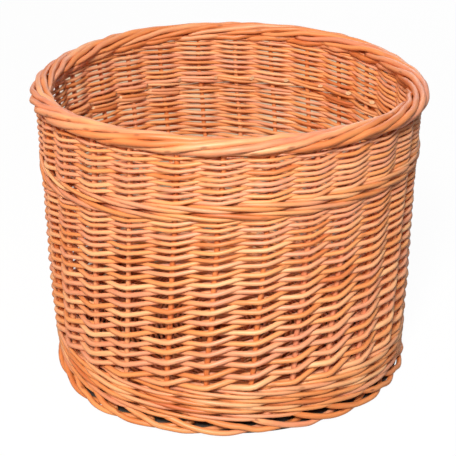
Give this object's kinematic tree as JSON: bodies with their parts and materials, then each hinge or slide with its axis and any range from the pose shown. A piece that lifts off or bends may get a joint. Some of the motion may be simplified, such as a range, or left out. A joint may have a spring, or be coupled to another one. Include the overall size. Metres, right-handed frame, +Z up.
{
  "type": "basket planter",
  "caption": "Round open-topped woven willow basket with straight walls, a rolled rim, a waled band below it and an open foot border.",
  "frame": {"origin": "centre of the foot on the floor", "axes": "+Z up through the open mouth, -Y towards the pictured front, +X to its right"},
  "size_m": [0.4714, 0.4714, 0.3647],
  "materials": {
    "stake_willow": "buff willow, satin",
    "weaver_willow": "buff willow, satin",
    "wale_willow": "buff willow, satin",
    "foot_willow": "buff willow, satin",
    "base_willow": "buff willow, matt"
  },
  "bodies": {
    "root": {"base_weave": "base_willow", "foot_border": "foot_willow", "lower_randing_a": "weaver_willow", "lower_randing_b": "weaver_willow", "middle_wale_round_1": "wale_willow", "middle_wale_round_2": "wale_willow", "slit_base_stick_1": "base_willow", "slit_base_stick_2": "base_willow", "slit_base_stick_3": "base_willow", "slit_base_stick_4": "base_willow", "stake_01": "stake_willow", "stake_02": "stake_willow", "stake_03": "stake_willow", "stake_04": "stake_willow", "stake_05": "stake_willow", "stake_06": "stake_willow", "stake_07": "stake_willow", "stake_08": "stake_willow", "stake_09": "stake_willow", "stake_10": "stake_willow", "stake_11": "stake_willow", "stake_12": "stake_willow", "stake_13": "stake_willow", "stake_14": "stake_willow", "stake_15": "stake_willow", "stake_16": "stake_willow", "stake_17": "stake_willow", "stake_18": "stake_willow", "stake_19": "stake_willow", "stake_20": "stake_willow", "stake_21": "stake_willow", "stake_22": "stake_willow", "stake_23": "stake_willow", "stake_24": "stake_willow", "stake_25": "stake_willow", "stake_26": "stake_willow", "stake_27": "stake_willow", "stake_28": "stake_willow", "through_base_stick_1": "base_willow", "through_base_stick_2": "base_willow", "through_base_stick_3": "base_willow", "upper_randing_a": "weaver_willow", "upper_randing_b": "weaver_willow", "upsett_round_1": "wale_willow", "upsett_round_2": "wale_willow", "upsett_round_3": "wale_willow", "upsett_round_4": "wale_willow"}
  },
  "joints": []
}
